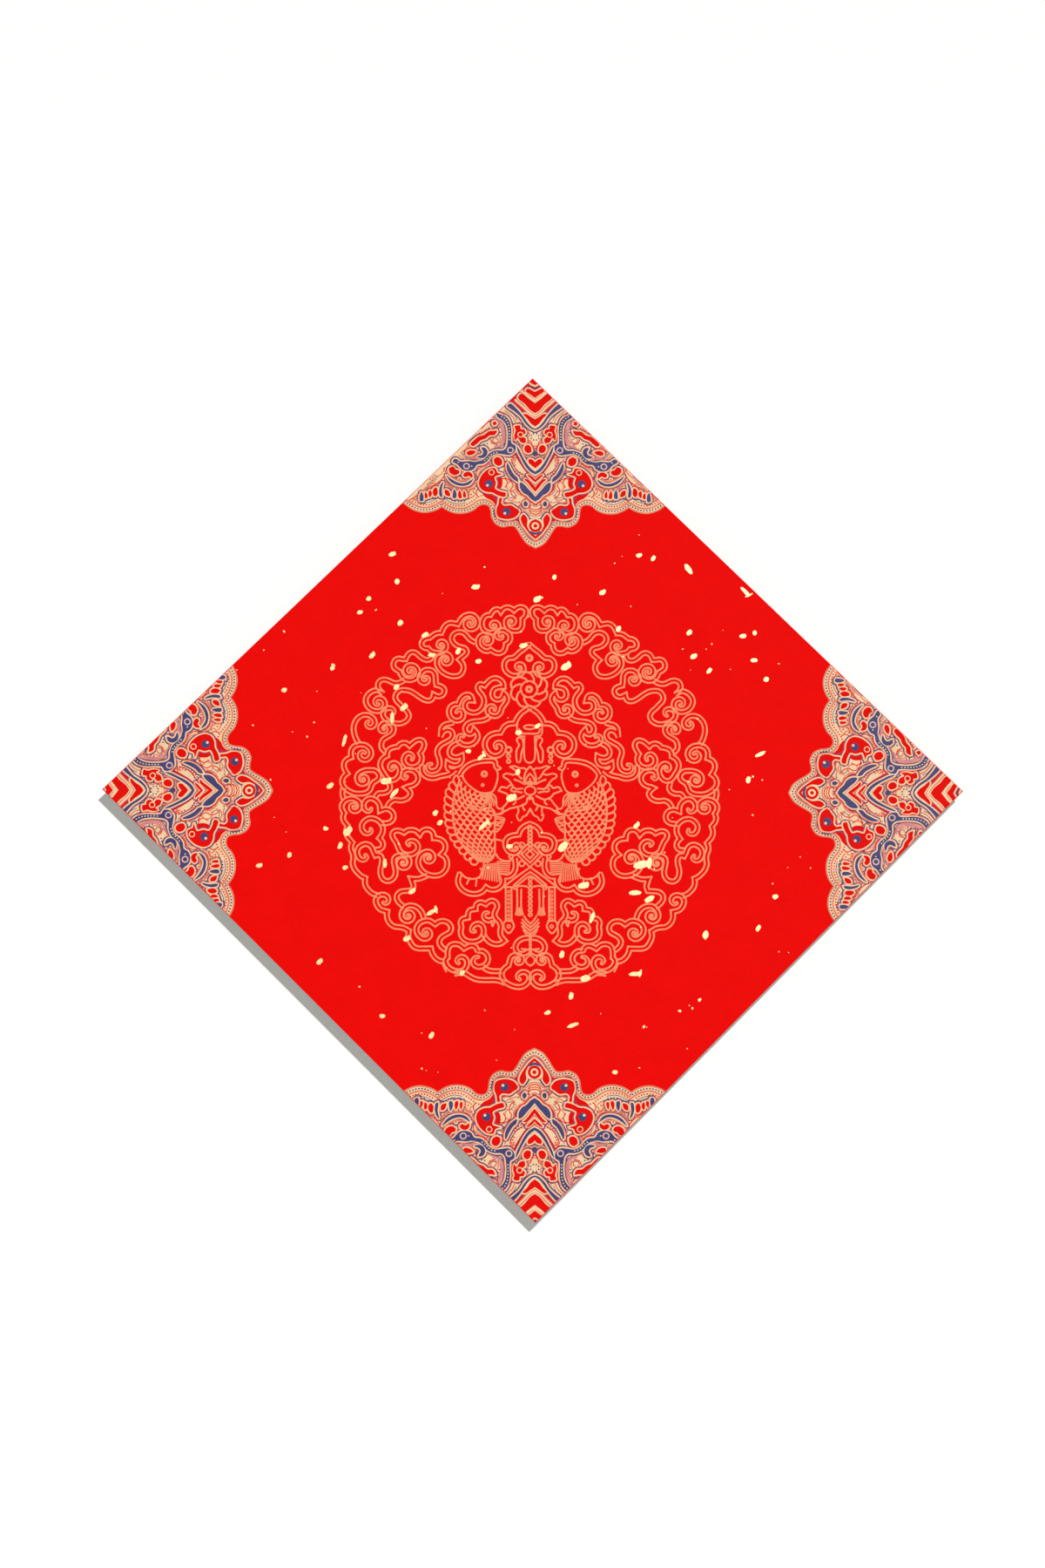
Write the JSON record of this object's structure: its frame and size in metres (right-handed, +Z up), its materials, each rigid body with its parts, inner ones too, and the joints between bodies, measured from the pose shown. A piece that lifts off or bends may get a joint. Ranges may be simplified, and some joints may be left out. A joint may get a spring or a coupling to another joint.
{
  "type": "lucky paper square",
  "caption": "Square laminated red card hung as a diamond, printed with twin carps in a ring of clouds, corner brocades and gold flecks; glued flat to a door or wall.",
  "frame": {"origin": "centre of the flat back face, in the plane that is glued to the door or wall", "axes": "+Z up through the top corner of the diamond; the printed face looks along -Y and the back face along +Y; +X to the right as seen from the front"},
  "size_m": [0.4808, 0.0012, 0.4808],
  "materials": {
    "lining_paper": "matt uncoated",
    "paste": "dry paste film",
    "card_board": "cut grey board",
    "red_paper": "dyed and wax-calendered, soft sheen",
    "salmon_gold_ink": "screen-printed gold ink over red",
    "cream_gold_ink": "screen-printed pale gold ink",
    "navy_ink": "screen-printed navy ink",
    "gold_leaf": "torn pale gold leaf"
  },
  "bodies": {
    "root": {"back_lining_paper": "lining_paper", "back_paste_film": "paste", "card_core": "card_board", "front_paste_film": "paste", "face_paper": "red_paper", "cloud_ring_print": "salmon_gold_ink", "inner_clouds_print": "salmon_gold_ink", "rosette_print": "salmon_gold_ink", "chime_print": "salmon_gold_ink", "lotus_print": "salmon_gold_ink", "left_carp_print": "salmon_gold_ink", "right_carp_print": "salmon_gold_ink", "knot_and_tassels_print": "salmon_gold_ink", "base_cloud_print": "salmon_gold_ink", "top_corner_gold_print": "cream_gold_ink", "top_corner_navy_print": "navy_ink", "left_corner_gold_print": "cream_gold_ink", "left_corner_navy_print": "navy_ink", "bottom_corner_gold_print": "cream_gold_ink", "bottom_corner_navy_print": "navy_ink", "right_corner_gold_print": "cream_gold_ink", "right_corner_navy_print": "navy_ink", "gold_flecks": "gold_leaf"}
  },
  "joints": []
}
